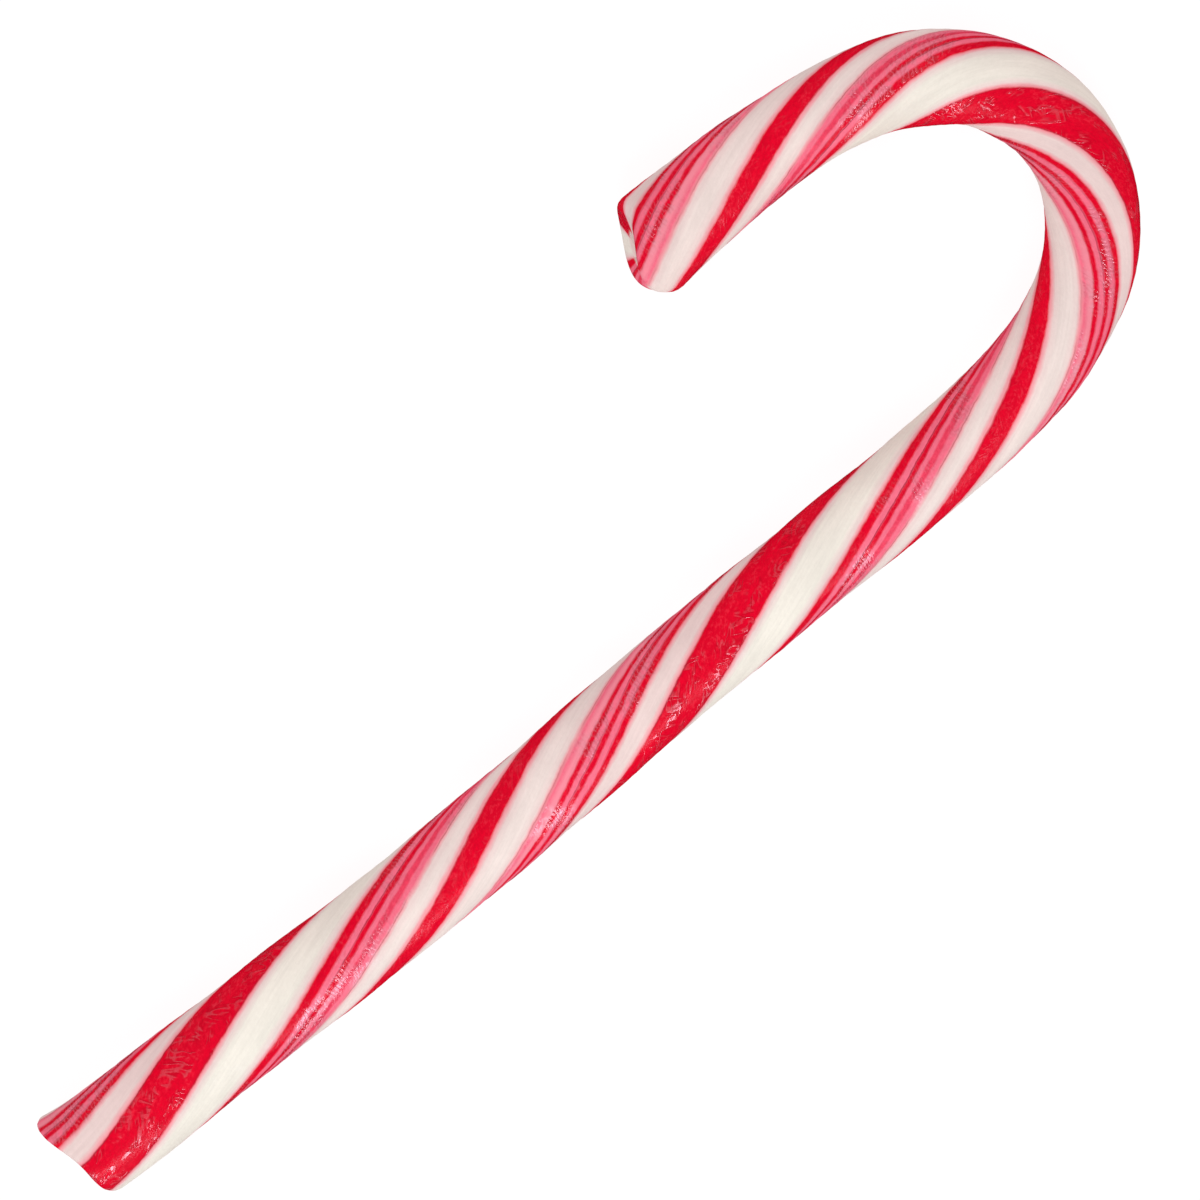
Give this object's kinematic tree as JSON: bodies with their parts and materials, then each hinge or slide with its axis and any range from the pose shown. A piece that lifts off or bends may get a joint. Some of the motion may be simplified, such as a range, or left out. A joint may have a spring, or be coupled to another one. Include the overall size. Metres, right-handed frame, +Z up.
{
  "type": "candy cane",
  "caption": "Twisted, striped stick of hard boiled sugar with a crook bent at one end, lying on its side, to eat or to hang by its crook.",
  "frame": {"origin": "middle of the cane's box in X and Y, on the surface that it lies on", "axes": "+Z up, +Y along the shaft towards the crook, the crook opens towards -X and its tip points to -Y"},
  "size_m": [0.051, 0.1618, 0.0115],
  "materials": {
    "pulled_sugar": "glossy boiled sugar, white with a wide and a narrow red stripe and two groups of fine red and pink stripes that twist to the left"
  },
  "bodies": {
    "root": {"candy_cane": "pulled_sugar"}
  },
  "joints": []
}
